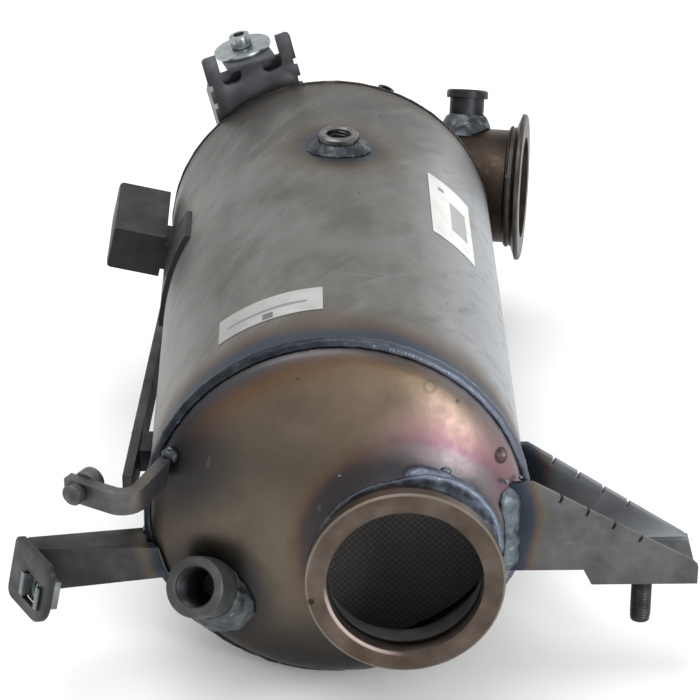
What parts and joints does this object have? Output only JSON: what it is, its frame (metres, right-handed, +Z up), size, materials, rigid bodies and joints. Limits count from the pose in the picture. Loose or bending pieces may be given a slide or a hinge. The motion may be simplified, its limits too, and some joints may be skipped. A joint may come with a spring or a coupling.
{
  "type": "diesel particulate filter",
  "caption": "Welded round exhaust can with an offset outlet cap, a side inlet pipe, sensor bosses and folded brackets, which holds a catalyst and a soot filter.",
  "frame": {"origin": "centre of the outlet bore, in the plane of the outlet flange's mouth", "axes": "+Y along the can from the outlet towards the inlet, +X towards the side that the inlet pipe leaves on, +Z up"},
  "size_m": [0.277, 0.3996, 0.1739],
  "materials": {
    "can_steel": "satin rolled stainless sheet",
    "cap_steel": "drawn stainless sheet with tan heat tint",
    "inlet_steel": "stainless with brown heat tint",
    "flange_steel": "turned stainless with tan heat tint",
    "weld_steel": "rippled blue-grey weld bead",
    "boss_steel": "dark turned steel",
    "bracket_steel": "dark scaled sheet steel",
    "box_steel": "near-black sheet steel",
    "stud_steel": "dark phosphated threaded steel",
    "zinc_steel": "pale zinc plate",
    "ceramic": "sooty ceramic honeycomb",
    "fibre_mat": "off-white ceramic fibre"
  },
  "bodies": {
    "root": {"can_shell": "can_steel", "outlet_cap": "cap_steel", "inlet_cap": "inlet_steel", "inlet_pipe": "inlet_steel", "inlet_flange": "inlet_steel", "outlet_flange": "flange_steel", "outlet_rim_weld": "weld_steel", "inlet_rim_weld": "weld_steel", "outlet_flange_weld": "weld_steel", "inlet_flange_weld": "weld_steel", "inlet_pipe_weld": "weld_steel", "top_boss_weld": "weld_steel", "outlet_boss_weld": "weld_steel", "inlet_boss_weld": "weld_steel", "right_bracket_weld": "weld_steel", "channel_weld": "weld_steel", "hook_weld": "weld_steel", "top_sensor_boss": "boss_steel", "outlet_sensor_boss": "boss_steel", "inlet_sensor_boss": "boss_steel", "pressure_stub": "boss_steel", "right_bracket": "bracket_steel", "channel_bracket": "bracket_steel", "hook_arm": "bracket_steel", "side_strut": "bracket_steel", "top_bracket": "bracket_steel", "box_bracket": "box_steel", "right_stud": "stud_steel", "hook_bolt": "stud_steel", "cage_clip": "zinc_steel", "cage_nut": "zinc_steel", "hook_nut": "zinc_steel", "top_washer": "zinc_steel", "top_bolt": "zinc_steel", "filter_monolith": "ceramic", "catalyst_monolith": "ceramic", "filter_mat": "fibre_mat", "catalyst_mat": "fibre_mat"}
  },
  "joints": []
}
